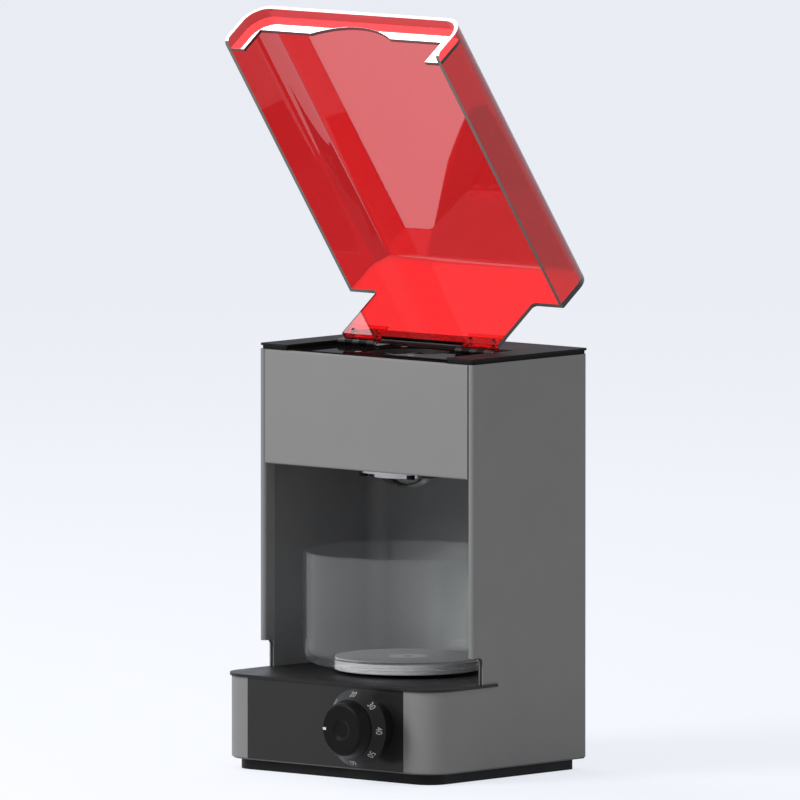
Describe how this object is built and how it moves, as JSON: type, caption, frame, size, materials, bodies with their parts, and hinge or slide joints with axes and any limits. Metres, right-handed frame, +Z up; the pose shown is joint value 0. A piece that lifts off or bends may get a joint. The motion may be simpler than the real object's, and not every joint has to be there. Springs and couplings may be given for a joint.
{
  "type": "dental light curing unit",
  "caption": "Tabletop light-curing unit: sheet-metal tower with a lamp over a motor-driven turntable and glass dish, dial timer, and a hinged red acrylic hood",
  "frame": {"origin": "on the plinth's underside, at the centre of the base's width and of the base's depth from control panel to rear panel", "axes": "+X to the right seen from the front, +Y to the rear, +Z up; the control panel and the hood face -Y"},
  "size_m": [0.2046, 0.2049, 0.5411],
  "materials": {
    "gray_paint": "satin",
    "black_paint": "satin",
    "dark_paint": "matte",
    "gloss_black": "glossy",
    "zinc_steel": "satin",
    "bare_alloy": "satin",
    "chrome_plate": "polished",
    "black_oxide": "satin",
    "lens_glass": "polished",
    "dish_glass": "polished",
    "circuit_board": "matte",
    "white_plastic": "matte",
    "black_plastic": "satin",
    "brass_contacts": "satin",
    "red_acrylic": "polished",
    "mirror_alloy": "mirror"
  },
  "bodies": {
    "cabinet": {"outer_shell": "gray_paint", "front_fascia": "gray_paint", "rear_panel": "gray_paint", "rear_panel_screws": "zinc_steel", "control_panel": "gloss_black", "base_plate": "zinc_steel", "plinth": "black_paint", "plinth_screws": "zinc_steel", "floor_plate": "black_paint", "chamber_liner": "dark_paint", "lamp_deck": "dark_paint", "hinge_deck": "gloss_black", "cover_spacer": "gray_paint", "top_cover": "black_paint", "lamp_bezel": "chrome_plate", "lamp_screws": "black_oxide", "lamp_lens": "lens_glass", "lamp_reflector": "bare_alloy", "led_board": "circuit_board", "led_chips": "white_plastic", "lamp_posts": "zinc_steel", "heat_sink": "bare_alloy", "fan_frame": "black_plastic", "fan_screws": "zinc_steel", "driver_board": "circuit_board", "driver_parts": "black_plastic", "driver_posts": "zinc_steel", "timer_mechanism": "bare_alloy", "timer_nut": "zinc_steel", "timer_dial": "black_plastic", "turntable_motor": "zinc_steel", "motor_screws": "zinc_steel", "power_inlet": "black_plastic", "inlet_pins": "brass_contacts", "deck_hinge_leaves": "black_oxide", "deck_hinge_screws": "black_oxide", "hinge_pins": "zinc_steel"},
    "fan": {"fan_rotor": "black_plastic"},
    "timer": {"timer_shaft": "zinc_steel", "timer_knob": "black_plastic", "knob_pointer": "white_plastic"},
    "turntable": {"motor_shaft": "zinc_steel", "turntable_disc": "bare_alloy", "hub_cap": "bare_alloy", "hub_screw": "black_oxide"},
    "dish": {"glass_dish": "dish_glass"},
    "hood": {"hood_hinge_leaves": "red_acrylic", "hood_hinge_screws": "black_oxide", "hood_shell": "red_acrylic", "hood_end_frame": "mirror_alloy"}
  },
  "joints": [
    {"name": "hood_hinge", "type": "hinge", "parent": "cabinet", "child": "hood", "pos_m": [0, 0.0129, 0.2994], "axis": [-1, 0, 0], "range_deg": [-144.2, 20]},
    {"name": "turntable_spin", "type": "hinge", "parent": "cabinet", "child": "turntable", "pos_m": [0, 0.0048, 0.075], "axis": [0, 0, 1], "continuous": true},
    {"name": "dish_lift", "type": "slide", "parent": "turntable", "child": "dish", "axis": [0, 0, 1], "range_m": [0, 0.03]},
    {"name": "timer_turn", "type": "hinge", "parent": "cabinet", "child": "timer", "pos_m": [0.046, -0.0835, 0.0398], "axis": [0, 1, 0], "range_deg": [0, 270]},
    {"name": "fan_spin", "type": "hinge", "parent": "cabinet", "child": "fan", "pos_m": [0, 0.0048, 0.288], "axis": [0, 0, 1], "continuous": true}
  ]
}
